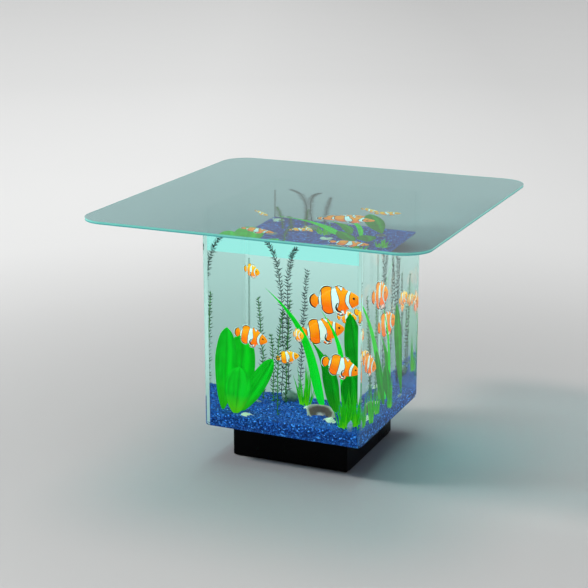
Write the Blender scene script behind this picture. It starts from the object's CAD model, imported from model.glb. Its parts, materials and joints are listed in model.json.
"""Looks of the aquarium on stand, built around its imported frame."""

import json
import math
import random

import bmesh
import bpy
import numpy as np
from mathutils import Matrix, Vector, noise


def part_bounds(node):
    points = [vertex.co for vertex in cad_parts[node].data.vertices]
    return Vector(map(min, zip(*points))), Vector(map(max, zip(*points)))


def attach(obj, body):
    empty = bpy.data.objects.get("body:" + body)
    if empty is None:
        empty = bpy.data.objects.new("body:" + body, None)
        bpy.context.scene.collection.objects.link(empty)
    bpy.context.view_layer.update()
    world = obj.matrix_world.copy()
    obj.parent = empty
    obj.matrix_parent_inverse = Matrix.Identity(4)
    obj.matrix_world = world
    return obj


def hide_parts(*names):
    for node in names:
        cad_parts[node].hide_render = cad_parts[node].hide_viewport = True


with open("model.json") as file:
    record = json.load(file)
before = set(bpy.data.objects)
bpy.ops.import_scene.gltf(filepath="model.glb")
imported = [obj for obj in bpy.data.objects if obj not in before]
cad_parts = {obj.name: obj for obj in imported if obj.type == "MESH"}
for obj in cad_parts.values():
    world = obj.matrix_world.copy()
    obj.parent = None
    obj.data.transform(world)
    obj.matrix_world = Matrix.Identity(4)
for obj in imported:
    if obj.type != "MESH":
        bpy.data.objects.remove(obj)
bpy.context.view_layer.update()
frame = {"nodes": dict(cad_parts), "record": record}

MM = 0.001
STAND = "aquarium"
UP = Vector((0, 0, 1))
# The side of a flat leaf that counts as its face looks this way
FRONT = Vector((0.4, -0.9, 0.15)).normalized()
BLACK, GREY, WHITE = (0, 0, 0), (0.5, 0.5, 0.5), (1, 1, 1)

TANK_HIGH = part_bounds("tank_seams")[1]
RIM_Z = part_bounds("tank_front")[1].z
TOP_LOW, TOP_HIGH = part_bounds("tabletop")
# The gravel's box gives the height of the tank's floor and how far from the middle its walls stand
FLOOR_TOP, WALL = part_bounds("gravel_bed")[0].z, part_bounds("gravel_bed")[1].x
# How deep plants are rooted in the gravel
ROOTED = 3 * MM

# Light bends at the outer faces of the panes and at the water's surface by this much
BLOCK_IOR = 1.56
# Tint of their mirror images, which leaves hardly any
WEAK_MIRROR = (0.1, 0.1, 0.1, 1)
# Tint of what is seen straight through the tank
NEARLY_CLEAR = (0.985, 1, 0.995)
# The tabletop's colour and the shade that it casts
TEAL, TEAL_SHADE = (0.50, 0.86, 0.86), (0.5, 0.67, 0.69)
# Share of its own colour that everything in the tank gives off, for the light scattered in lit water
GLOW = 0.42
# Lower edge of the bright band near the tank's rim
BAND_LOW = 0.547
# Grains of gravel to the metre
GRAINS = 230.0


# ---------- materials ----------

def set_stops(ramp, stops):
    while len(ramp.elements) < len(stops):
        ramp.elements.new(0.5)
    for element, (at, colour) in zip(ramp.elements, stops):
        element.position, element.color = at, (*colour, 1)


class Shader:
    """A node material round one Principled shader, with short calls for what the recipes below use."""

    def __init__(self, name, **sockets):
        self.mat = bpy.data.materials.new(name)
        self.mat.use_nodes = True
        self.tree = self.mat.node_tree
        self.bsdf = self.tree.nodes["Principled BSDF"]
        self.coord = None
        for socket, value in sockets.items():
            self.bsdf.inputs[socket.replace("_", " ")].default_value = value

    def node(self, kind, inputs=None, **settings):
        n = self.tree.nodes.new("ShaderNode" + kind)
        for key, value in settings.items():
            setattr(n, key, value)
        for key, value in (inputs or {}).items():
            if isinstance(value, bpy.types.NodeSocket):
                self.tree.links.new(value, n.inputs[key])
            else:
                n.inputs[key].default_value = value
        return n

    def link(self, source, socket):
        self.tree.links.new(source, self.bsdf.inputs[socket])

    def surface(self, source):
        """Takes the place of the Principled shader in the material's output."""
        self.tree.links.new(source, self.tree.nodes["Material Output"].inputs["Surface"])

    def surface_mix(self, fac, a, b):
        self.surface(self.node("MixShader", {0: fac, 1: a, 2: b}).outputs[0])

    def clear(self, tint=(1, 1, 1, 1)):
        return self.node("BsdfTransparent", {"Color": tint}).outputs[0]

    def uv(self, name):
        return self.node("UVMap", uv_map=name).outputs[0]

    def split(self, vector):
        return self.node("SeparateXYZ", {0: vector}).outputs

    def place(self):
        """Object coordinates, in metres."""
        if self.coord is None:
            self.coord = self.node("TexCoord").outputs["Object"]
        return self.coord

    def noise(self, scale, detail=3.0, vector=None):
        return self.node("TexNoise", {"Vector": vector or self.place(), "Scale": scale,
                                      "Detail": detail, "Roughness": 0.55}).outputs["Fac"]

    def ramp(self, fac, stops, interpolation="LINEAR"):
        n = self.node("ValToRGB", {"Fac": fac})
        n.color_ramp.interpolation = interpolation
        set_stops(n.color_ramp, stops)
        return n.outputs["Color"]

    def math(self, operation, a, b=0.0, c=0.0):
        return self.node("Math", {0: a, 1: b, 2: c}, operation=operation).outputs[0]

    def times(self, a, b):
        return self.math("MULTIPLY", a, b)

    def mix(self, fac, a, b, blend="MIX"):
        a, b = (x if isinstance(x, bpy.types.NodeSocket) else (*x, 1) for x in (a, b))
        return self.node("Mix", {0: fac, 6: a, 7: b}, data_type="RGBA", blend_type=blend).outputs[2]

    def bump(self, height, strength, distance):
        self.link(self.node("Bump", {"Height": height, "Strength": strength,
                                     "Distance": distance}).outputs[0], "Normal")

    def lit(self, colour, glow=GLOW):
        """A colour that gives off a share of itself."""
        self.link(colour, "Base Color")
        self.link(colour, "Emission Color")
        self.bsdf.inputs["Emission Strength"].default_value = glow

    def roughness(self, fac, low, high):
        n = self.node("MapRange", {"Value": fac, "To Min": low, "To Max": high})
        self.link(n.outputs[0], "Roughness")


def mottled(name, dark, light, scale, rough, bump=0.0, **sockets):
    """A plain stuff whose colour and roughness drift a little, with a fine bump, in millimetres."""
    s = Shader(name, **sockets)
    drift = s.noise(scale)
    s.link(s.ramp(drift, [(0.3, dark), (0.7, light)]), "Base Color")
    s.roughness(drift, rough * 0.85, rough * 1.15)
    if bump:
        s.bump(s.noise(scale * 8, 2), 0.5, bump * MM)
    return s.mat


def glass(name, colour, shade, straight_after=None, **sockets):
    """Clear glass that lets the lamps through, tinted by shade.
    Light that has already been bent straight_after times goes straight through, all but untinted."""
    s = Shader(name, Base_Color=(*colour, 1), Roughness=0.0, Transmission_Weight=1.0, **sockets)
    path = s.node("LightPath")
    lamp = open_to = path.outputs["Is Shadow Ray"]
    tint = (*shade, 1)
    if straight_after:
        bent = s.math("GREATER_THAN", path.outputs["Transmission Depth"], straight_after - 0.5)
        open_to = s.math("MAXIMUM", lamp, bent)
        tint = s.mix(lamp, NEARLY_CLEAR, shade)
    s.surface_mix(open_to, s.bsdf.outputs[0], s.clear(tint))
    return s.mat


def touching(name):
    """A face of the tank against water, gravel or the next pane, where light isn't bent."""
    s = Shader(name)
    s.surface(s.clear())
    return s.mat


def seam_stuff(name):
    """Clear silicone, gone grey up to the bright band in the far left corner.
    Its mirror image in the left pane stays clear."""
    corner = 0.2
    s = Shader(name)
    x, y, z = s.split(s.place())
    left = s.math("LESS_THAN", s.math("ADD", x, s.times(s.noise(30), 0.01)), -corner)
    grey = s.times(left, s.math("GREATER_THAN", y, corner))
    grey = s.times(grey, s.math("LESS_THAN", z, BAND_LOW - 2 * MM))
    mirrored = s.node("LightPath").outputs["Is Reflection Ray"]
    grey = s.times(grey, s.math("SUBTRACT", 1.0, mirrored))
    s.surface_mix(grey, s.clear((0.97, 0.985, 0.98, 1)), s.clear((0.7, 0.73, 0.71, 1)))
    return s.mat


def leafy(name, dark, light, base, streaks):
    """Leaf: fine streaks along its length, one half brighter, a fold line down its middle, dark edges and a
    yellower base. The UV map runs across the leaf along U and from base to tip along V."""
    s = Shader(name, Specular_IOR_Level=0.06)
    uv = s.uv("leaf")
    across, along, _ = s.split(uv)
    stretched = s.node("Mapping", {"Vector": uv, "Scale": (streaks, 1.3, 1.0)}).outputs[0]
    streak = s.noise(1.0, 3, vector=stretched)
    mixed = s.math("MULTIPLY_ADD", s.noise(30), 0.45, s.times(streak, 0.55))
    green = s.ramp(mixed, [(0.32, dark), (0.66, light)])
    low = s.node("MapRange", {"Value": along, "From Min": 0.05, "From Max": 0.42,
                              "To Min": 1.0, "To Max": 0.0})
    sunny = s.ramp(across, [(0.12, BLACK), (0.3, WHITE), (0.47, BLACK)])
    bright = (light[0], min(1, light[1] * 1.5), light[2] * 1.5)
    tone = s.mix(low.outputs[0], s.mix(s.times(sunny, 0.55), green, bright), base)
    off = s.math("ABSOLUTE", s.math("SUBTRACT", across, 0.5))
    midrib, edge = 0.018, 0.475
    lines = s.math("ADD", s.math("LESS_THAN", off, midrib), s.math("GREATER_THAN", off, edge))
    s.lit(s.mix(s.times(lines, 0.6), tone, dark))
    s.roughness(streak, 0.45, 0.6)
    s.bump(streak, 0.3, 0.5 * MM)
    return s.mat


# White bands of a clownfish, as shares of its length from the tail
FISH_BANDS = ((0.195, 0.25), (0.445, 0.60), (0.71, 0.785))


def fish_skin(name, orange, top):
    """Clownfish: three white bands edged in black, and fins rimmed in black and white. The UV map runs from
    tail to nose along U and up the body along V; the rim attribute is 1 at a fin's edge."""
    white, black = (0.66, 0.70, 0.68), (0.005, 0.004, 0.005)
    s = Shader(name, Specular_IOR_Level=0.15)
    u, v, _ = s.split(s.uv("fish"))
    bow = s.math("POWER", s.math("ABSOLUTE", s.math("SUBTRACT", v, 0.5)), 2.0)
    bulge = s.ramp(u, [(0.0, GREY), (0.46, GREY), (0.58, WHITE), (0.64, WHITE), (0.70, BLACK), (1, GREY)])
    bend = s.times(s.times(bow, s.math("SUBTRACT", bulge, 0.5)), 1.1)
    waver = s.times(s.math("SUBTRACT", s.noise(90, 2), 0.5), 0.02)
    along = s.math("ADD", s.math("ADD", u, bend), waver)
    body = s.ramp(s.math("MULTIPLY_ADD", s.noise(45), 0.4, s.times(v, 0.7)),
                  [(0.35, orange), (0.75, top)])
    soft, line = 0.004, 0.010
    stops = [(0.0, BLACK)]
    for low, high in FISH_BANDS:
        stops += [(low - soft, BLACK), (low + soft, WHITE), (high - soft, WHITE), (high + soft, BLACK)]
    banded = s.mix(s.ramp(along, stops), body, white)
    stops = [(0.0, BLACK)]
    for edge in (x for band in FISH_BANDS for x in band):
        stops += [(edge - line, BLACK), (edge - soft, WHITE), (edge + soft, WHITE), (edge + line, BLACK)]
    edged = s.mix(s.ramp(along, stops), banded, black)
    rim = s.node("Attribute", attribute_name="rim").outputs["Fac"]
    finned = s.mix(s.math("GREATER_THAN", rim, 0.74), edged, black)
    skin = s.mix(s.math("GREATER_THAN", rim, 0.93), finned, white)
    s.lit(skin, GLOW * 2.2)
    scales = s.node("TexVoronoi", {"Vector": s.place(), "Scale": 420.0}).outputs["Distance"]
    s.roughness(scales, 0.3, 0.45)
    s.bump(scales, 0.2, 0.3 * MM)
    return s.mat


def gravel_stuff(name):
    """Blue grains of many shades, with dark gaps between them."""
    s = Shader(name, Specular_IOR_Level=0.1)
    cells = s.node("TexVoronoi", {"Vector": s.place(), "Scale": GRAINS})
    shade = s.node("SeparateColor", {0: cells.outputs["Color"]}).outputs[0]
    blues = s.ramp(shade, [(0.0, (0.005, 0.022, 0.10)), (0.5, (0.010, 0.055, 0.24)),
                           (0.85, (0.018, 0.12, 0.50)), (1.0, (0.10, 0.38, 0.95))])
    gap = s.ramp(cells.outputs["Distance"], [(0.35, WHITE), (0.75, (0.35, 0.4, 0.55))])
    s.lit(s.mix(1.0, blues, gap, "MULTIPLY"), GLOW * 1.5)
    s.roughness(shade, 0.5, 0.7)
    s.bump(s.math("SUBTRACT", 1.0, cells.outputs["Distance"]), 0.6, 1.0 * MM)
    return s.mat


def pebble_stuff(name):
    """Loose gravel: each grain's shade comes from the mesh."""
    s = Shader(name, Specular_IOR_Level=0.15)
    shade = s.node("Attribute", attribute_name="shade").outputs["Fac"]
    blues = s.ramp(shade, [(0.0, (0.005, 0.022, 0.10)), (0.55, (0.010, 0.06, 0.27)),
                           (0.88, (0.02, 0.14, 0.6)), (1.0, (0.2, 0.55, 1.0))])
    s.lit(s.mix(s.times(s.noise(300), 0.5), blues, (0.006, 0.03, 0.14)), GLOW * 1.4)
    s.roughness(shade, 0.35, 0.6)
    return s.mat


def ribbed_shell(name, dark, light, ribs):
    """Shell: rings of colour and growth lines round the hinge, along U from hinge to rim."""
    s = Shader(name, Specular_IOR_Level=0.5, Coat_Weight=0.2, Coat_Roughness=0.3)
    u = s.split(s.uv("shell"))[0]
    ring = s.math("SINE", s.math("MULTIPLY_ADD", u, ribs, s.times(s.noise(60), 4.0)))
    s.lit(s.ramp(s.math("MULTIPLY_ADD", ring, 0.5, 0.5), [(0.1, dark), (0.8, light)]))
    s.roughness(ring, 0.35, 0.55)
    s.bump(ring, 0.5, 0.5 * MM)
    return s.mat


def lacquer(name):
    """Black gloss lacquer over board, with a faint orange-peel ripple."""
    s = Shader(name, Specular_IOR_Level=0.05)
    drift = s.noise(9)
    s.link(s.ramp(drift, [(0.3, (0.0004, 0.0004, 0.0005)), (0.7, (0.0012, 0.0012, 0.0015))]), "Base Color")
    s.roughness(drift, 0.22, 0.34)
    s.bump(s.noise(180, 1), 0.06, 0.2 * MM)
    return s.mat


def brushed(name, tone, rough):
    """Metal with fine level streaks."""
    s = Shader(name, Metallic=1.0)
    stretched = s.node("Mapping", {"Vector": s.place(), "Scale": (30, 30, 900)}).outputs[0]
    streak = s.noise(1.0, 2, vector=stretched)
    s.link(s.ramp(streak, [(0.2, tuple(c * 0.8 for c in tone)), (0.8, tone)]), "Base Color")
    s.roughness(streak, rough * 0.7, rough * 1.3)
    return s.mat


def polished_rim(name):
    """The rim of the tabletop: light gathers in it, so it glows turquoise, darker along its lower half."""
    s = Shader(name, Specular_IOR_Level=0.5, Roughness=0.12)
    height = s.split(s.place())[2]
    share = s.node("MapRange", {"Value": height, "From Min": TOP_LOW.z, "From Max": TOP_HIGH.z}).outputs[0]
    tone = s.ramp(s.math("MULTIPLY_ADD", s.noise(40), 0.06, share),
                  [(0.0, (0.05, 0.34, 0.34)), (0.45, (0.07, 0.42, 0.41)), (0.55, (0.15, 0.60, 0.52)),
                   (0.85, (0.18, 0.64, 0.54)), (1.0, (0.10, 0.48, 0.46))])
    s.lit(tone, 0.25)
    return s.mat


CAD_LOOKS = {
    "black_lacquer": lacquer("lacquer"),
    "board": mottled("stained_board", (0.008, 0.008, 0.008), (0.022, 0.02, 0.018), 30, 0.6, 0.2),
    "screw_steel": brushed("screw_steel", (0.62, 0.63, 0.65), 0.3),
    "hinge_steel": brushed("hinge_steel", (0.5, 0.51, 0.53), 0.35),
    "foot_rubber": mottled("foot_rubber", (0.012, 0.012, 0.012), (0.03, 0.03, 0.03), 60, 0.75, 0.2),
    "mat_foam": mottled("mat_foam", (0.02, 0.02, 0.022), (0.05, 0.05, 0.055), 200, 0.9, 0.5),
    "tank_glass": glass("pane_glass", (0.62, 1.0, 0.93), (0.33, 0.43, 0.44), 2, IOR=BLOCK_IOR,
                        Specular_Tint=WEAK_MIRROR),
    "tabletop_glass": glass("teal_glass", TEAL, TEAL_SHADE, IOR=1.5),
    "clear_silicone": seam_stuff("clear_silicone"),
    "black_plastic": mottled("black_plastic", (0.01, 0.01, 0.012), (0.028, 0.028, 0.03), 40, 0.42, 0.15),
    "grey_plastic": mottled("grey_plastic", (0.2, 0.21, 0.22), (0.3, 0.31, 0.32), 40, 0.4, 0.12),
    "hose_rubber": mottled("hose_rubber", (0.03, 0.03, 0.035), (0.06, 0.06, 0.065), 70, 0.5, 0.15),
    "impeller_plastic": mottled("impeller_plastic", (0.55, 0.55, 0.5), (0.72, 0.72, 0.68), 60, 0.4, 0.1),
    "magnet": mottled("magnet", (0.03, 0.03, 0.035), (0.08, 0.08, 0.085), 120, 0.55, 0.2),
    "valve_chrome": brushed("valve_chrome", (0.75, 0.75, 0.77), 0.12),
    "lever_red": mottled("lever_red", (0.35, 0.012, 0.012), (0.5, 0.02, 0.02), 40, 0.3, 0.1, Coat_Weight=0.4),
}
POLISHED_RIM = polished_rim("polished_rim")
GRAVEL_SIDE = gravel_stuff("gravel_side")
UNDERSIDE = glass("teal_underside", TEAL, TEAL_SHADE, IOR=1.0)
TOUCHING = touching("touching_faces")
EYE_RING = mottled("eye_ring", (0.6, 0.16, 0.0), (0.8, 0.25, 0.01), 400, 0.2)
EYE_DARK = mottled("eye_dark", (0.002, 0.002, 0.002), (0.006, 0.006, 0.006), 400, 0.08)


# ---------- reading the frame ----------

def loose_parts(node):
    """The separate solids of a CAD node: for each, its vertices and its volume's centre."""
    bm = bmesh.new()
    bm.from_mesh(frame["nodes"][node].data)
    bmesh.ops.remove_doubles(bm, verts=bm.verts, dist=0.01 * MM)
    bmesh.ops.triangulate(bm, faces=bm.faces)
    bm.verts.index_update()
    left, parts = set(bm.verts), []
    while left:
        stack = [left.pop()]
        part = set(stack)
        while stack:
            for edge in stack.pop().link_edges:
                for v in edge.verts:
                    if v in left:
                        left.discard(v)
                        part.add(v)
                        stack.append(v)
        faces = {f for v in part for f in v.link_faces}
        origin = next(iter(part)).co.copy()
        volume, moment = 0.0, Vector()
        for f in faces:
            a, b, c = (v.co - origin for v in f.verts)
            share = a.dot(b.cross(c))
            volume += share
            moment += share * (a + b + c) / 4
        centre = origin + moment / volume
        parts.append((np.array([v.co[:] for v in part]), centre))
    bm.free()
    return sorted(parts, key=lambda p: tuple(round(x, 4) for x in p[1]))


def axes_of(points):
    """Centre and the three principal directions of a cloud, longest first."""
    centre = points.mean(0)
    values, vectors = np.linalg.eigh(np.cov((points - centre).T))
    return Vector(centre), [Vector(vectors[:, i]) for i in (2, 1, 0)]


def end_points(points, axis, reach):
    """Means of the vertices within reach of the two ends along an axis."""
    along = points @ np.array(axis)
    low = points[along < along.min() + reach].mean(0)
    high = points[along > along.max() - reach].mean(0)
    return Vector(low), Vector(high)


def inside(p, margin=1.5 * MM):
    """A point kept inside the tank's walls."""
    most = WALL - margin
    return Vector((max(-most, min(most, p.x)), max(-most, min(most, p.y)), p.z))


def gravel_profile():
    """Y and Z of the gravel's surface along the right wall."""
    points = np.array([v.co[:] for v in frame["nodes"]["gravel_bed"].data.vertices])
    edge = points[(points[:, 0] > WALL - 0.5 * MM) & (points[:, 2] > FLOOR_TOP + 6 * MM)]
    edge = edge[np.argsort(edge[:, 1])]
    return edge[:, 1], edge[:, 2]


GRAVEL_Y, GRAVEL_Z = gravel_profile()


def gravel_z(y):
    """Height of the gravel, which is the same from left to right."""
    return float(np.interp(y, GRAVEL_Y, GRAVEL_Z))


# ---------- meshes ----------

def add_object(name, data):
    ob = bpy.data.objects.new(name, data)
    bpy.context.scene.collection.objects.link(ob)
    return ob


def mesh_object(name, bm, materials):
    mesh = bpy.data.meshes.new(name)
    bmesh.ops.recalc_face_normals(bm, faces=bm.faces)
    bm.to_mesh(mesh)
    bm.free()
    for m in materials:
        mesh.materials.append(m)
    return add_object(name, mesh)


def new_piece(name, bm, materials, node=None, smooth=True):
    """A piece of the stand made from bm, in place of a CAD node where one is named."""
    ob = mesh_object(name, bm, materials)
    for p in ob.data.polygons:
        p.use_smooth = smooth
    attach(ob, STAND)
    if node:
        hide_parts(node)
    return ob


def angles(count):
    """Evenly spread angles round a circle."""
    return [2 * math.pi * k / count for k in range(count)]


def add_ring(bm, centre, direction, radius, sides):
    """A ring of vertices square to a direction."""
    x = direction.orthogonal().normalized()
    y = direction.cross(x)
    return [bm.verts.new(centre + (x * math.cos(a) + y * math.sin(a)) * radius) for a in angles(sides)]


def grid_faces(bm, rows, closed=False):
    """Quads between rows of vertices; closed joins each row's ends. Returns the faces."""
    made = []
    for a, b in zip(rows, rows[1:]):
        n = len(a)
        for j in range(n if closed else n - 1):
            k = (j + 1) % n
            made.append(bm.faces.new((a[j], a[k], b[k], b[j])))
    return made


def add_sheet(bm, half, cells, height):
    """A square sheet of the given height at each x and y. Returns the vertices round its edge."""
    places = np.linspace(-half, half, cells + 1)
    rows = [[bm.verts.new((x, y, height(x, y))) for x in places] for y in places]
    grid_faces(bm, rows)
    return rows[0][:-1] + [row[-1] for row in rows[:-1]] + rows[-1][:0:-1] + [row[0] for row in rows[:0:-1]]


def solidify(ob, thickness):
    m = ob.modifiers.new("thickness", "SOLIDIFY")
    m.thickness = thickness
    m.offset = 0.0
    m.use_rim = True


def subdivide(ob):
    m = ob.modifiers.new("smooth", "SUBSURF")
    m.levels = m.render_levels = 1


# ---------- leaves ----------

def add_leaf(bm, uv, base, tip, width, normal, belly, steps=20, across=8, bow=0.05, fold=0.16, wave=0.0,
             blunt=1.0, sweep=0.0, seed=0):
    """One leaf from base to tip, widest at belly: bowed and swept sideways by shares of its length, folded
    along its midrib and rippled at its edges."""
    axis = tip - base
    length = axis.length
    axis.normalize()
    side = normal.cross(axis).normalized()
    out = axis.cross(side).normalized()
    power = math.log(0.5) / math.log(belly)
    rng = random.Random(seed)
    phase = rng.uniform(0, 6.3)
    rows, keys = [], []
    for i in range(steps + 1):
        s = i / steps
        swell = math.sin(math.pi * min(1, s ** power)) ** blunt
        half = 1.6 * MM * (1 - s) + (width / 2 - MM) * swell + 0.1 * MM
        lift = bow * length * math.sin(math.pi * s)
        shift = -sweep * length * math.sin(math.pi * s ** 1.35)
        row, key = [], []
        for j in range(across + 1):
            v = 2 * j / across - 1
            ripple = wave * width * math.sin(5 * math.pi * s + phase + (2 if v > 0 else 0)) * abs(v) ** 3
            raised = lift - fold * half * abs(v) + ripple
            p = base + axis * (s * length) + side * (half * v + shift) + out * raised
            row.append(bm.verts.new(inside(p)))
            key.append((j / across, s))
        rows.append(row)
        keys.append(key)
    lookup = {v: k for r, ks in zip(rows, keys) for v, k in zip(r, ks)}
    for f in grid_faces(bm, rows):
        for loop in f.loops:
            loop[uv].uv = lookup[loop.vert]


def leaf_frames(node):
    """Base, tip, width, facing and widest place of each flat leaf of a CAD node."""
    for points, _ in loose_parts(node):
        _, (long, wide, thin) = axes_of(points)
        if long.z < 0:
            long = -long
        base, tip = end_points(points, long, 2.5 * MM)
        spread = points @ np.array(wide)
        widest = Vector(points[np.abs(spread - (spread.max() + spread.min()) / 2).argmax()])
        if thin.dot(FRONT) < 0:
            thin = -thin
        belly = (widest - base).dot(long) / (tip - base).length
        yield base, tip, float(np.ptp(spread)), thin, min(0.8, max(0.25, belly))


def build_leaves(name, node, slot, materials, thickness, **shape):
    for i, (base, tip, width, normal, belly) in enumerate(leaf_frames(node)):
        bm = bmesh.new()
        uv = bm.loops.layers.uv.new("leaf")
        add_leaf(bm, uv, base - UP * ROOTED, tip, width, normal, belly, seed=i, **shape)
        ob = new_piece(f"{name}_{i + 1}", bm, [materials[i % len(materials)]], node)
        solidify(ob, thickness)
        subdivide(ob)


def build_grass():
    """Each blade of the CAD tufts, with two shorter ones beside it."""
    bm = bmesh.new()
    uv = bm.loops.layers.uv.new("leaf")
    rng = random.Random(5)
    blade = {"belly": 0.35, "steps": 10, "across": 2, "fold": 0.5}
    for base, tip, width, normal, _ in leaf_frames("grass_tufts"):
        root = base - UP * ROOTED
        add_leaf(bm, uv, root, tip, width * 0.9, normal, bow=rng.uniform(-0.05, 0.05), **blade)
        for _ in range(2):
            nudge = Vector((rng.uniform(-7, 7), rng.uniform(-7, 7), 0)) * MM
            turned = Matrix.Rotation(rng.uniform(-1, 1), 3, UP) @ normal
            lower = inside(tip + nudge * 2 - UP * rng.uniform(5, 40) * MM)
            bow = rng.uniform(-0.06, 0.06)
            add_leaf(bm, uv, root + nudge * 0.5, lower, width * 0.85, turned, bow=bow, **blade)
    material = leafy("grass_leaf", (0.008, 0.28, 0.004), (0.03, 0.55, 0.01), (0.16, 0.72, 0.004), 5)
    ob = new_piece("grass", bm, [material], "grass_tufts")
    solidify(ob, 0.5 * MM)


# ---------- ferns ----------

def add_tube(bm, path, radii):
    """A closed six-sided tube along a path."""
    rows = []
    for i, (p, radius) in enumerate(zip(path, radii)):
        d = (path[min(i + 1, len(path) - 1)] - path[max(i - 1, 0)]).normalized()
        rows.append(add_ring(bm, p, d, radius, 6))
    grid_faces(bm, rows, closed=True)
    bm.faces.new(rows[0][::-1])
    bm.faces.new(rows[-1])


def add_needle(bm, root, direction, length, radius):
    """A needle: a three-sided spindle."""
    low, high = bm.verts.new(root), bm.verts.new(inside(root + direction * length))
    ring = add_ring(bm, root + direction * length * 0.4, direction, radius, 3)
    for j in range(3):
        k = (j + 1) % 3
        bm.faces.new((low, ring[k], ring[j]))
        bm.faces.new((high, ring[j], ring[k]))


def smooth_path(points, steps, kink, rng):
    """A curve through base, bend and tip with small kinks, that leaves the needles room before the walls."""
    room = 12 * MM
    a, b, c = points
    control = b * 2 - (a + c) * 0.5
    path = []
    for i in range(steps + 1):
        t = i / steps
        p = a * (1 - t) ** 2 + control * (2 * t * (1 - t)) + c * t ** 2
        loose = math.sin(math.pi * t) ** 0.5
        path.append(inside(p + Vector((rng.uniform(-1, 1), rng.uniform(-1, 1), 0)) * kink * loose, room))
    return path


def build_ferns():
    """Stems with whorls of four needles; the ones nearer the front are thicker and greener."""
    rng = random.Random(11)
    dark = mottled("fern_needles", (0.006, 0.028, 0.022), (0.015, 0.06, 0.04), 60, 0.5)
    fresh = mottled("fern_fresh", (0.008, 0.08, 0.02), (0.03, 0.22, 0.03), 60, 0.5)
    stem = mottled("fern_stem", (0.04, 0.28, 0.015), (0.10, 0.45, 0.02), 60, 0.5)
    for i, (points, _) in enumerate(loose_parts("fern_stems")):
        heights = points[:, 2]
        low, high = heights.min() + 5 * MM, heights.max() - 5 * MM
        base = Vector(points[heights < low].mean(0))
        tip = Vector(points[heights > high].mean(0))
        bend = Vector(points[(heights >= low) & (heights <= high)].mean(0))
        steps = max(8, int((tip - base).length / (16 * MM)))
        path = smooth_path((base - UP * ROOTED, bend, tip), steps, 2.2 * MM, rng)
        bm = bmesh.new()
        young = base.y < 0.15
        thick = 1.9 if young else 1.25
        add_tube(bm, path, [(thick - 0.7 * k / steps) * MM for k in range(steps + 1)])
        for f in bm.faces:
            f.material_index = 1
        whorls = int((tip - base).length / (10.5 * MM))
        for k in range(whorls * 4):
            t = (k // 4 + 0.4 * rng.random()) / whorls * steps
            a = min(int(t), steps - 1)
            root = path[a].lerp(path[a + 1], t - a)
            along = (path[a + 1] - path[a]).normalized()
            turn = Matrix.Rotation(2 * math.pi * (k / 4 + rng.uniform(-0.06, 0.06)) + k // 4, 3, along)
            outward = turn @ along.orthogonal().normalized()
            length = rng.uniform(15, 21) * MM * (0.7 + 0.3 * math.sin(math.pi * min(1, t / steps * 1.15)))
            direction = (outward + along * rng.uniform(0.4, 0.9)).normalized()
            add_needle(bm, root, direction, length, 1.7 * MM)
        colours = [fresh, stem] if young else [dark, dark]
        new_piece(f"fern_{i + 1}", bm, colours, "fern_stems", smooth=False)


# ---------- fish ----------

# A fish's body from the tail's root to the nose, as shares of its length: place, top, bottom, half width
FISH_SECTIONS = [
    (-0.345, 0.064, -0.062, 0.012), (-0.31, 0.066, -0.064, 0.020), (-0.26, 0.090, -0.088, 0.034),
    (-0.18, 0.148, -0.142, 0.054), (-0.08, 0.192, -0.180, 0.074), (0.04, 0.212, -0.200, 0.088),
    (0.16, 0.204, -0.196, 0.092), (0.26, 0.178, -0.174, 0.084), (0.34, 0.142, -0.140, 0.070),
    (0.41, 0.100, -0.104, 0.054), (0.46, 0.060, -0.068, 0.036), (0.49, 0.024, -0.034, 0.018),
]
# Front dorsal, rear dorsal, anal and tail fin: (place, height) of the points along its root and along its rim
FISH_FINS = (
    ([(0.23, 0.165), (0.16, 0.185), (0.09, 0.195), (0.02, 0.195), (-0.02, 0.19)],
     [(0.2, 0.225), (0.14, 0.275), (0.07, 0.285), (0.0, 0.255), (-0.03, 0.21)]),
    ([(-0.02, 0.185), (-0.09, 0.17), (-0.16, 0.145), (-0.22, 0.11), (-0.27, 0.085)],
     [(-0.04, 0.24), (-0.11, 0.285), (-0.2, 0.28), (-0.27, 0.22), (-0.29, 0.115)]),
    ([(-0.02, -0.175), (-0.09, -0.165), (-0.15, -0.14), (-0.21, -0.11), (-0.26, -0.085)],
     [(-0.04, -0.23), (-0.1, -0.275), (-0.18, -0.28), (-0.25, -0.22), (-0.28, -0.115)]),
    ([(-0.315, 0.058), (-0.325, 0.03), (-0.33, 0.0), (-0.325, -0.03), (-0.315, -0.058)],
     [(-0.38, 0.15), (-0.475, 0.11), (-0.5, 0.0), (-0.475, -0.11), (-0.38, -0.15)]),
)
# Pectoral and pelvic fin of one side: root, rim, how far out its root is and how far it spreads
SIDE_FINS = (
    ([(0.2, -0.02), (0.195, -0.055), (0.19, -0.085), (0.195, -0.11)],
     [(0.05, -0.03), (-0.02, -0.12), (0.03, -0.22), (0.13, -0.23)], 0.088, 0.05),
    ([(0.2, -0.17), (0.14, -0.185), (0.08, -0.185)],
     [(0.17, -0.28), (0.08, -0.31), (0.01, -0.26)], 0.03, 0.02),
)


def fish_bend(p, bend):
    """Swings the part behind the fins of the sides sideways."""
    t = max(0.0, 0.15 - p.x)
    return Vector((p.x, p.y + bend * t * t, p.z))


def map_skin(faces, uv):
    for f in faces:
        for loop in f.loops:
            loop[uv].uv = (loop.vert.co.x + 0.5, loop.vert.co.z / 0.46 + 0.5)


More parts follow.
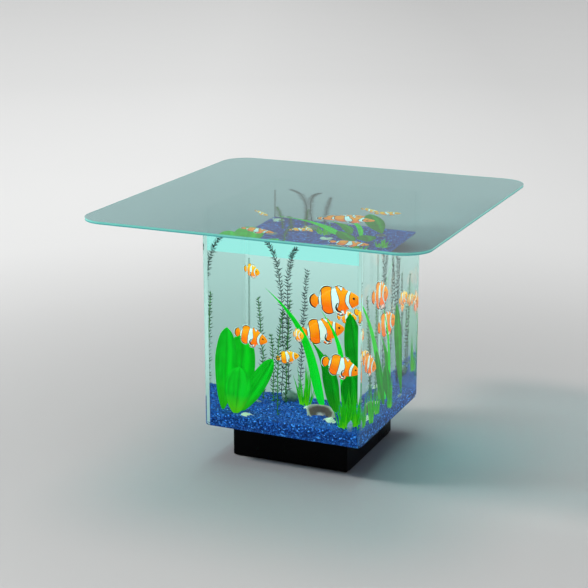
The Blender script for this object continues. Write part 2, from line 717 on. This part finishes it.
def add_fin(bm, uv, rim, root, edge, offset=0.0, out=0.0, bend=0.0):
    """A thin fin between its root and its rim."""
    steps = 4
    rows = []
    for i in range(steps + 1):
        t = i / steps
        row = []
        for (rx, rz), (ex, ez) in zip(root, edge):
            p = Vector((rx + (ex - rx) * t, offset + out * t, rz + (ez - rz) * t))
            v = bm.verts.new(fish_bend(p, bend))
            v[rim] = t
            row.append(v)
        rows.append(row)
    map_skin(grid_faces(bm, rows), uv)


def build_fish(name, centre, length, heading, material, bend):
    """A fish made with a length of 1 and its nose along +X, then scaled, turned and put in its place."""
    bm = bmesh.new()
    uv = bm.loops.layers.uv.new("fish")
    rim = bm.verts.layers.float.new("rim")
    sides = 20
    rows = []
    for place, top, bottom, half in FISH_SECTIONS:
        middle, tall = (top + bottom) / 2, (top - bottom) / 2
        row = []
        for a in angles(sides):
            square = 1 - 0.12 * math.sin(2 * a) ** 2
            p = Vector((place, half * math.cos(a) * square, middle + tall * math.sin(a)))
            row.append(bm.verts.new(fish_bend(p, bend)))
        rows.append(row)
    body = grid_faces(bm, rows, closed=True)
    body.append(bm.faces.new(rows[0][::-1]))
    nose = bm.verts.new((0.5, 0, -0.008))
    for k in range(sides):
        body.append(bm.faces.new((rows[-1][k], rows[-1][(k + 1) % sides], nose)))
    map_skin(body, uv)
    for root, edge in FISH_FINS:
        add_fin(bm, uv, rim, root, edge, bend=bend)
    for side in (-1, 1):
        for root, edge, offset, out in SIDE_FINS:
            add_fin(bm, uv, rim, root, edge, offset * side, out * side)
    eyes = []
    for side in (-1, 1):
        for radius, out, index in ((0.027, 0.056, 1), (0.017, 0.071, 2)):
            at = Matrix.Translation((0.375, out * side, 0.035)) @ Matrix.Diagonal((1, 0.7, 1, 1))
            made = bmesh.ops.create_uvsphere(bm, u_segments=12, v_segments=8, radius=radius, matrix=at)
            eyes += [(f, index) for v in made["verts"] for f in v.link_faces]
    for f, index in eyes:
        f.material_index = index
    side = UP.cross(heading).normalized()
    up = heading.cross(side)
    turn = Matrix((heading, side, up)).transposed().to_4x4()
    bm.transform(Matrix.Translation(centre) @ turn @ Matrix.Scale(length, 4))
    ob = new_piece(name, bm, [material, EYE_RING, EYE_DARK], "clownfish")
    solidify(ob, 0.35 * MM)
    subdivide(ob)


def build_shoal():
    """Each fish heads for the thicker end of its CAD solid, and the small ones are amber."""
    skins = [fish_skin("skin_orange", (1.0, 0.14, 0.001), (1.0, 0.26, 0.001)),
             fish_skin("skin_amber", (1.0, 0.22, 0.002), (1.0, 0.42, 0.004))]
    rng = random.Random(3)
    for i, (points, centre) in enumerate(loose_parts("clownfish")):
        middle, (long, _, _) = axes_of(points)
        along = (points - np.array(middle)) @ np.array(long)
        length = float(np.ptp(along))
        midpoint = middle + long * float(along.max() + along.min()) / 2
        heading = long if (centre - midpoint).dot(long) > 0 else -long
        skin = skins[1 if length < 90 * MM else 0]
        build_fish(f"clownfish_{i + 1}", midpoint, length, heading, skin, rng.uniform(-0.35, 0.35))


# ---------- gravel, stones and shells ----------

def build_gravel():
    """The bed: a rolling top and flat sides, all one closed mesh, under a scatter of loose grains."""
    grains_on_top, grains_at_walls = 2600, 1500
    bm = bmesh.new()

    def height(x, y):
        roll, bumps = noise.noise(Vector((x * 14, y * 14, 0))), noise.noise(Vector((x * 120, y * 120, 3)))
        return gravel_z(y) + (roll * 2.5 + bumps * 1.2) * MM

    levels = [add_sheet(bm, WALL, 120, height)]
    for share in (0.6, 0.3, 0.0):
        levels.append([bm.verts.new((v.co.x, v.co.y, FLOOR_TOP + (v.co.z - FLOOR_TOP) * share))
                       for v in levels[0]])
    grid_faces(bm, levels, closed=True)
    bm.faces.new(levels[-1])
    new_piece("gravel", bm, [gravel_stuff("gravel_bed")], "gravel_bed")

    grains = bmesh.new()
    shade = grains.verts.layers.float.new("shade")
    rng = random.Random(21)
    seed_ball = bmesh.new()
    bmesh.ops.create_icosphere(seed_ball, subdivisions=1, radius=1.0)
    shape = [v.co.copy() for v in seed_ball.verts]
    faces = [[v.index for v in f.verts] for f in seed_ball.faces]
    seed_ball.free()

    def grain(p, size):
        tone = rng.random() ** 1.6
        turn, axis = rng.uniform(0, 6.28), Vector((rng.random(), rng.random(), rng.random() + 0.1))
        spin = Matrix.Rotation(turn, 3, axis)
        verts = []
        for co in shape:
            q = spin @ Vector((co.x, co.y * 0.8, co.z * 0.65)) * size * rng.uniform(0.8, 1.15)
            v = grains.verts.new(inside(p + q, 0.3 * MM))
            v[shade] = tone
            verts.append(v)
        for f in faces:
            grains.faces.new([verts[k] for k in f])

    for _ in range(grains_on_top):
        x, y = rng.uniform(-WALL, WALL), rng.uniform(-WALL, WALL)
        size = rng.uniform(1.8, 3.4) * MM
        grain(Vector((x, y, height(x, y) + size * 0.2)), size)
    for _ in range(grains_at_walls):
        along, size = rng.uniform(-WALL, WALL), rng.uniform(1.8, 3.2) * MM
        wall = rng.choice(((0, -1), (0, 1), (1, 0), (-1, 0)))
        depth = WALL - size * 0.6
        x = wall[0] * depth if wall[0] else along
        y = wall[1] * depth if wall[1] else along
        grain(Vector((x, y, rng.uniform(FLOOR_TOP + size, gravel_z(y)))), size)
    new_piece("gravel_grains", grains, [pebble_stuff("gravel_grain")], smooth=False)


def build_stone(name, low, high, material, seed):
    """A water-worn stone filling a box, sunk a little into the gravel."""
    bm = bmesh.new()
    bmesh.ops.create_icosphere(bm, subdivisions=4, radius=1.0)
    centre, half = (low + high) / 2, (high - low) / 2
    for v in bm.verts:
        n = v.co.normalized()
        lump = 1 + 0.12 * noise.noise(n * 1.3 + Vector((seed, 0, 0))) + 0.03 * noise.noise(n * 6)
        v.co = Vector((n.x * half.x, n.y * half.y, n.z * half.z)) * lump + centre
        v.co.z -= 1.5 * MM
    new_piece(name, bm, [material], "river_stones")


def build_crystal(low, high, material):
    """A quartz cluster: six-sided points leaning out of one root, each with its size, lean and turn."""
    points = ((1.0, 0.1, 0.3), (0.78, 0.4, 2.2), (0.7, 0.38, 4.1), (0.55, 0.5, 5.3), (0.5, 0.55, 1.2))
    bm = bmesh.new()
    centre = Vector(((low.x + high.x) / 2, (low.y + high.y) / 2, low.z - 2 * MM))
    tall, wide = high.z - low.z, (high.x - low.x)
    rng = random.Random(8)
    for size, lean, turn in points:
        r, h = wide * 0.22 * size, tall * size
        up = Vector((math.cos(turn) * lean, math.sin(turn) * lean, 1)).normalized()
        rows = []
        for share, girth in ((0.0, 1.0), (0.72, 0.95)):
            middle = centre + up * h * share
            rows.append(add_ring(bm, middle, up, r * girth, 6))
            for v in rows[-1]:
                v.co = middle + (v.co - middle) * rng.uniform(0.9, 1.1)
        grid_faces(bm, rows, closed=True)
        bm.faces.new(rows[0][::-1])
        point = bm.verts.new(centre + up * h)
        for k in range(6):
            bm.faces.new((rows[1][k], rows[1][(k + 1) % 6], point))
    ob = new_piece("quartz_points", bm, [material], "river_stones", smooth=False)
    m = ob.modifiers.new("edges", "BEVEL")
    m.width, m.segments = 0.3 * MM, 2


def build_shell(name, low, high, turn, material):
    """A fan shell lying hollow side down: ribs run from its hinge to a scalloped rim."""
    ribs, spread = 13, math.radians(210)
    bm = bmesh.new()
    uv = bm.loops.layers.uv.new("shell")
    centre = Vector(((low.x + high.x) / 2, (low.y + high.y) / 2, low.z))
    across = min(high.x - low.x, high.y - low.y)
    tall = high.z - low.z
    rings, spokes = 14, ribs * 6
    spin = Matrix.Rotation(turn, 3, "Z")
    rows = []
    for i in range(rings + 1):
        r = i / rings
        row = []
        for k in range(spokes + 1):
            a = (k / spokes - 0.5) * spread
            rib = math.cos(ribs * 2 * math.pi * k / spokes)
            reach = across * (0.98 - 0.16 * (2 * a / spread) ** 2 + 0.012 * rib)
            x, y = -across * 0.42 + reach * r * math.cos(a) * 0.86, reach * r * math.sin(a) * 0.62
            near_hinge, near_rim = math.sin(math.pi * (1 - 0.88 * r)), math.cos(math.pi * (r - 0.42) / 1.16)
            dome = near_hinge if r < 0.5 else near_rim
            z = tall * (max(0.0, dome) * (1 - 0.25 * abs(a)) + 0.03 * rib * r)
            row.append(bm.verts.new(centre + spin @ Vector((x, y, max(-1.5 * MM, z)))))
        rows.append(row)
    for i, f in enumerate(grid_faces(bm, rows)):
        ring = i // spokes
        for loop in f.loops:
            k = ring if loop.vert in rows[ring] else ring + 1
            loop[uv].uv = (k / rings, 0.5)
    bmesh.ops.remove_doubles(bm, verts=rows[0], dist=0.01 * MM)
    ob = new_piece(name, bm, [material], "shells")
    solidify(ob, 1.2 * MM)
    subdivide(ob)


def build_oyster(low, high, material):
    """An open oyster on its side: crust at the back, a lip, and a hollow that faces the front."""
    bm = bmesh.new()
    uv = bm.loops.layers.uv.new("shell")
    out = Vector((0.25, -0.85, 0.55)).normalized()
    right = UP.cross(out).normalized()
    up = out.cross(right)
    centre = (low + high) / 2 - UP * 4 * MM
    wide, tall, deep = (high.x - low.x) * 0.5, (high.z - low.z) * 0.78, (high.y - low.y) * 0.36
    outline = [(t, math.sin(math.pi * t), -math.cos(math.pi * t)) for t in (k / 20 for k in range(1, 10))]
    outline += [(0.47, 1.0, 0.08), (0.5, 0.97, 0.16), (0.54, 0.88, 0.10)]
    outline += [(0.54 + 0.46 * t, 0.88 * (1 - t), 0.10 - 0.75 * math.sin(math.pi / 2 * t))
                for t in (k / 8 for k in range(1, 8))]
    rows = []
    for t, reach, depth in outline:
        row = []
        for a in angles(48):
            ray = Vector((math.cos(a), math.sin(a), depth))
            lump = 1 + 0.22 * noise.noise(ray * 1.4 + Vector((3, 0, 0))) + 0.05 * noise.noise(ray * 6)
            flat = right * (wide * reach * math.cos(a)) + up * (tall * reach * math.sin(a))
            row.append(bm.verts.new(centre + flat * lump + out * (deep * depth)))
        rows.append(row)
    ends = [rows[0][::-1], rows[-1]]
    shares = {v: t for (t, _, _), row in zip(outline, rows) for v in row}
    for f in grid_faces(bm, rows, closed=True) + [bm.faces.new(e) for e in ends]:
        for loop in f.loops:
            loop[uv].uv = (shares[loop.vert], 0.5)
    new_piece("oyster", bm, [material], "oyster_shell")


def oyster_stuff(name):
    """Grey-brown crust, pale lip, dark hollow with a milky middle, along U from the back to the middle."""
    s = Shader(name, Specular_IOR_Level=0.3)
    u = s.split(s.uv("shell"))[0]
    drift = s.noise(70)
    place = s.math("ADD", u, s.times(s.math("SUBTRACT", drift, 0.5), 0.12))
    tone = s.ramp(place, [(0.0, (0.10, 0.10, 0.07)), (0.3, (0.26, 0.27, 0.19)), (0.44, (0.36, 0.38, 0.30)),
                          (0.53, (0.34, 0.36, 0.27)), (0.60, (0.10, 0.07, 0.05)), (0.82, (0.08, 0.06, 0.05)),
                          (0.93, (0.42, 0.40, 0.38))])
    patches = s.ramp(drift, [(0.35, (0.3, 0.3, 0.3)), (0.65, BLACK)])
    s.lit(s.mix(patches, tone, (0.08, 0.075, 0.055)), GLOW * 1.8)
    s.roughness(drift, 0.35, 0.7)
    s.bump(s.noise(220, 2), 0.7, 0.9 * MM)
    return s.mat


def part_box(points):
    return Vector(points.min(0)), Vector(points.max(0))


def build_bottom_dressing():
    """Stones, shells and the oyster; the stone that is taller than it is wide is the crystal."""
    grey = mottled("river_stone", (0.22, 0.26, 0.24), (0.45, 0.5, 0.46), 55, 0.45, 0.3)
    quartz = mottled("quartz", (0.28, 0.36, 0.55), (0.7, 0.78, 0.95), 90, 0.18, Subsurface_Weight=0.2,
                     Subsurface_Radius=(0.01, 0.01, 0.01))
    for i, (points, _) in enumerate(loose_parts("river_stones")):
        low, high = part_box(points)
        if high.z - low.z > high.x - low.x:
            build_crystal(low, high, quartz)
        else:
            build_stone(f"stone_{i + 1}", low - UP * 8 * MM, high, grey, i)
    pearl = ribbed_shell("shell_pearl", (0.42, 0.45, 0.3), (0.78, 0.8, 0.62), 40)
    for i, (points, _) in enumerate(loose_parts("shells")):
        build_shell(f"shell_{i + 1}", *part_box(points), 0.6 + 2.1 * i, pearl)
    build_oyster(*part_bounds("oyster_shell"), oyster_stuff("oyster_crust"))


# ---------- water ----------

def build_water():
    """The water: a closed block a hair's breadth inside the panes, with a gently rippled surface."""
    bm = bmesh.new()
    most, level = WALL - 0.2 * MM, RIM_Z - 2.5 * MM

    def surface(x, y):
        fade = min(1.0, (most - max(abs(x), abs(y))) / 0.03)
        return level + 0.25 * MM * fade * noise.noise(Vector((x * 11, y * 11, 7)))

    ring = add_sheet(bm, most, 40, surface)
    lower = [bm.verts.new((v.co.x, v.co.y, FLOOR_TOP + 3 * MM)) for v in ring]
    grid_faces(bm, [ring, lower], closed=True)
    bm.faces.new(lower)
    material = glass("water", (0.88, 0.98, 0.97), (0.9, 0.97, 0.97), 2, IOR=BLOCK_IOR,
                     Specular_Tint=WEAK_MIRROR)
    ob = new_piece("water", bm, [material, TOUCHING], smooth=False)
    for p in ob.data.polygons:
        p.use_smooth = p.normal.z > 0.9
        p.material_index = int(p.normal.z < 0.9)


# ---------- CAD nodes that stay ----------

def dress_pane(ob, name):
    """Glass where a pane meets the air, and clear where it touches water, gravel, silicone or another pane.
    The floor pane's sides show the gravel that they mirror."""
    ob.data.materials.append(TOUCHING)
    ob.data.materials.append(GRAVEL_SIDE)
    outer = TANK_HIGH.x + 1 * MM
    for p in ob.data.polygons:
        flat = max(abs(p.center.x), abs(p.center.y))
        if name == "tank_floor" and abs(p.normal.z) < 0.5 and flat > WALL - 1 * MM:
            p.material_index = 2
        elif p.normal.z < -0.9 or p.center.z > RIM_Z - 0.1 * MM or flat > outer:
            p.material_index = 0
        else:
            p.material_index = 1


# How much the edges of these nodes are rounded, in millimetres
ROUNDED = {"tabletop": 1.2, "service_door": 1.2, "plinth_front": 2.0, "plinth_back": 1.5, "plinth_left": 1.5,
           "plinth_right": 1.5, "door_knob": 0.6, "pump_body": 1.2, "pump_cover": 0.8,
           "intake_valve_lever": 0.8, "return_valve_lever": 0.8, "cable_grommet": 0.6, "door_catch": 0.6}


def dress_cad_nodes():
    """Materials and rounded edges for the nodes that stay visible."""
    slots = {s["node"]: s["material_slot"] for s in frame["record"]["subparts"]}
    for name, ob in frame["nodes"].items():
        look = CAD_LOOKS.get(slots[name])
        if look is None:
            continue
        ob.data.materials.clear()
        ob.data.materials.append(look)
        weld = ob.modifiers.new("weld", "WELD")
        weld.merge_threshold = 0.005 * MM
        if slots[name] == "tank_glass":
            dress_pane(ob, name)
        if name == "tabletop":
            ob.data.materials.append(POLISHED_RIM)
            ob.data.materials.append(UNDERSIDE)
            for p in ob.data.polygons:
                p.material_index = 1 if abs(p.normal.z) < 0.5 else 2 if p.normal.z < 0 else 0
        if name in ROUNDED:
            bevel = ob.modifiers.new("edges", "BEVEL")
            bevel.width = ROUNDED[name] * MM
            bevel.segments = 3
            bevel.limit_method = "ANGLE"
            bevel.angle_limit = math.radians(40)
            bevel.harden_normals = True


# ---------- camera, floor and light ----------

def build_camera():
    """The photograph's own viewpoint."""
    data = bpy.data.cameras.new("camera")
    data.lens, data.sensor_width = 93.2, 36
    camera = add_object("camera", data)
    azimuth, elevation, roll = 23.646, 15.824, -0.057
    camera.matrix_world = (Matrix.Translation((1.6678, -3.9570, 1.6846))
                           @ Matrix.Rotation(math.radians(azimuth), 4, "Z")
                           @ Matrix.Rotation(math.radians(90 - elevation), 4, "X")
                           @ Matrix.Rotation(math.radians(roll), 4, "Z"))
    bpy.context.scene.camera = camera


def far_lamp(name, towards, strength, softness):
    """Even light from one side: towards points to the lamp, softness is its width in degrees."""
    data = bpy.data.lights.new(name, "SUN")
    data.energy, data.angle = strength, math.radians(softness)
    ob = add_object(name, data)
    ob.location = Vector(towards) * 4
    ob.rotation_euler = (-Vector(towards)).to_track_quat("-Z", "Y").to_euler()


def stage_set(name, bm, material):
    """A mesh object from bm that belongs to the room and not to the model."""
    ob = mesh_object(name, bm, [material])
    return ob


# Light of the room's walls and ceiling: height above the horizon, and how bright it is there
SKY_TONES = ((0.0, 0.5), (0.42, 0.48), (0.62, 0.1), (1.0, 0.06))
# Paint of the floor: distance from the middle in metres, and how pale it is there
FLOOR_TONES = ((0.0, 0.36), (0.45, 0.38), (0.8, 0.45), (1.3, 0.51), (1.9, 0.62), (2.7, 0.75), (4.5, 0.75),
               (8.0, 0.66), (16.0, 0.54))


def floor_paint(name):
    """Pale matt paint, darker under the object, palest in a wide ring round it and darker to the right."""
    s = Shader(name, Specular_IOR_Level=0.2)
    edge = FLOOR_TONES[-1][0]
    far = s.node("VectorMath", {0: s.place()}, operation="LENGTH").outputs["Value"]
    stops = [(at / edge, (tone, tone, tone * 0.995)) for at, tone in FLOOR_TONES]
    ring = s.ramp(s.math("DIVIDE", far, edge), stops, "B_SPLINE")
    x, y, _ = s.split(s.place())
    right = s.math("ADD", s.times(x, 0.92), s.times(y, 0.39))
    side = s.node("MapRange", {"Value": right, "From Min": -0.8, "From Max": 1.6}).outputs[0]
    s.link(s.mix(side, ring, s.mix(1.0, ring, (0.84, 0.84, 0.84), "MULTIPLY")), "Base Color")
    s.roughness(s.noise(2), 0.55, 0.65)
    return s.mat


def build_studio():
    """A round floor, light that fades towards the ceiling, and soft lamps overhead and at the left."""
    bm = bmesh.new()
    rows = [[bm.verts.new((r * math.cos(a), r * math.sin(a), 0)) for a in angles(96)]
            for r in (0.05, 0.5, 1, 2, 4, 8, 16, 32, 60)]
    grid_faces(bm, rows, closed=True)
    bm.faces.new(rows[0])
    stage_set("studio_floor", bm, floor_paint("floor_paint"))
    world = bpy.data.worlds.new("studio")
    world.use_nodes = True
    nodes, links = world.node_tree.nodes, world.node_tree.links
    height = nodes.new("ShaderNodeSeparateXYZ")
    links.new(nodes.new("ShaderNodeTexCoord").outputs["Generated"], height.inputs[0])
    ramp = nodes.new("ShaderNodeValToRGB")
    set_stops(ramp.color_ramp, [(at, (tone * 0.97, tone, tone)) for at, tone in SKY_TONES])
    links.new(height.outputs[2], ramp.inputs[0])
    links.new(ramp.outputs[0], nodes["Background"].inputs["Color"])
    bpy.context.scene.world = world
    far_lamp("overhead", (-0.11, 0.27, 0.96), 1.75, 30)
    far_lamp("left", (-0.70, -0.27, 0.66), 2.1, 9)
    bpy.context.scene.view_settings.view_transform = "Standard"
    bpy.context.scene.cycles.transparent_max_bounces = 32


def build_light_card():
    """A lit card close behind the tank for its upper band of bright turquoise. Only rays that have just left
    the pane in front of it meet it, so it lights nothing and shows nowhere else."""
    bm = bmesh.new()
    back, half, top, reach = TANK_HIGH.y + 32 * MM, 0.27, RIM_Z - 43 * MM, 0.06
    corners = ((-half, BAND_LOW), (half, BAND_LOW), (half, top), (-half, top))
    bm.faces.new([bm.verts.new((x, back, z)) for x, z in corners])
    s = Shader("card_glow")
    near = s.math("LESS_THAN", s.node("LightPath").outputs["Ray Length"], reach)
    glow = s.node("Emission", {"Color": (0.53, 0.85, 0.83, 1), "Strength": 1.0}).outputs[0]
    s.surface_mix(near, s.clear(), glow)
    card = stage_set("light_card", bm, s.mat)
    card.visible_camera = card.visible_diffuse = card.visible_glossy = card.visible_shadow = False


# ---------- assembly ----------

build_camera()
build_studio()
build_light_card()
dress_cad_nodes()
build_leaves("broad_leaf", "broad_leaves", "broad_leaf", [
    leafy("broad_leaf", (0.0008, 0.40, 0.006), (0.003, 0.66, 0.018), (0.03, 0.5, 0.004), 9),
    leafy("broad_leaf_dark", (0.001, 0.38, 0.006), (0.003, 0.64, 0.016), (0.02, 0.44, 0.004), 9),
    leafy("broad_leaf_pale", (0.002, 0.44, 0.008), (0.006, 0.78, 0.025), (0.12, 0.62, 0.004), 9),
], 0.9 * MM, bow=0.05, wave=0.03, blunt=0.48)
build_leaves("tall_leaf", "tall_leaves", "dark_leaf", [
    leafy("tall_leaf", (0.0005, 0.17, 0.004), (0.002, 0.40, 0.01), (0.02, 0.34, 0.004), 9),
], 0.9 * MM, bow=0.04, wave=0.03, blunt=0.6)
build_leaves("sword_blade", "sword_blades", "sword_leaf", [
    leafy("sword_leaf", (0.001, 0.58, 0.006), (0.004, 0.98, 0.03), (0.004, 0.98, 0.05), 5),
    leafy("sword_leaf_dark", (0.001, 0.25, 0.004), (0.003, 0.42, 0.01), (0.004, 0.4, 0.01), 5),
], 0.8 * MM, bow=0.045, across=4, steps=28, blunt=1.2, sweep=0.09)
build_grass()
build_ferns()
build_shoal()
build_gravel()
build_bottom_dressing()
build_water()
